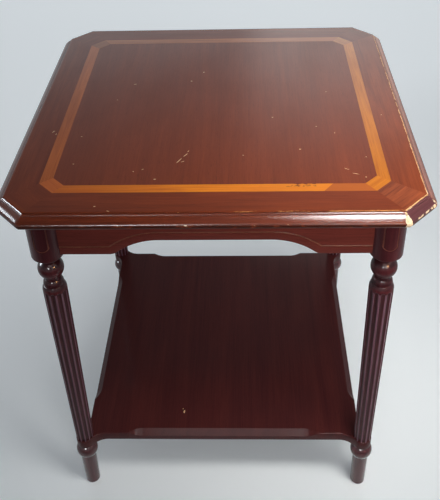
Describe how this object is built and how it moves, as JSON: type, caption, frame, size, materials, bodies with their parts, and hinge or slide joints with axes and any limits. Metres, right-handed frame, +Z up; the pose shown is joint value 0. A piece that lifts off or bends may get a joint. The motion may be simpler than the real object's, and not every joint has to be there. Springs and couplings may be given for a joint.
{
  "type": "end table with shelf",
  "caption": "Square end table with an inlaid top with cut corners, arched aprons, turned fluted legs and a low shelf.",
  "frame": {"origin": "on the floor under the middle of the top", "axes": "+Z up, -Y towards the front as seen in the picture, +X to the right"},
  "size_m": [0.472, 0.472, 0.513],
  "materials": {
    "field_veneer": "red-brown lacquered veneer",
    "inlay": "pale orange lacquered veneer",
    "crossband": "red-brown lacquered veneer",
    "moulding": "dark red-brown lacquer, worn on the arrises",
    "apron": "dark red-brown lacquer",
    "leg": "dark red-brown lacquer",
    "shelf": "dark red-brown lacquer",
    "core": "raw board",
    "backing": "thin stained veneer",
    "block": "raw softwood",
    "dowel": "raw beech",
    "steel": "zinc plated"
  },
  "bodies": {
    "root": {"top_core": "core", "top_backing_veneer": "backing", "top_field_veneer": "field_veneer", "shelf_board": "shelf", "apron_dowels": "dowel", "leg_studs": "steel", "top_screws": "steel", "inlay_front": "inlay", "inlay_right": "inlay", "inlay_back": "inlay", "inlay_left": "inlay", "inlay_front_left": "inlay", "inlay_front_right": "inlay", "inlay_back_right": "inlay", "inlay_back_left": "inlay", "crossband_front": "crossband", "crossband_right": "crossband", "crossband_back": "crossband", "crossband_left": "crossband", "crossband_front_left": "crossband", "crossband_front_right": "crossband", "crossband_back_right": "crossband", "crossband_back_left": "crossband", "edge_moulding_front": "moulding", "edge_moulding_right": "moulding", "edge_moulding_back": "moulding", "edge_moulding_left": "moulding", "edge_moulding_front_left": "moulding", "edge_moulding_front_right": "moulding", "edge_moulding_back_right": "moulding", "edge_moulding_back_left": "moulding", "apron_front": "apron", "apron_right": "apron", "apron_back": "apron", "apron_left": "apron", "leg_front_left": "leg", "leg_front_right": "leg", "leg_back_right": "leg", "leg_back_left": "leg", "foot_front_left": "leg", "foot_front_right": "leg", "foot_back_right": "leg", "foot_back_left": "leg", "corner_block_front_left": "block", "corner_block_front_right": "block", "corner_block_back_right": "block", "corner_block_back_left": "block"}
  },
  "joints": []
}
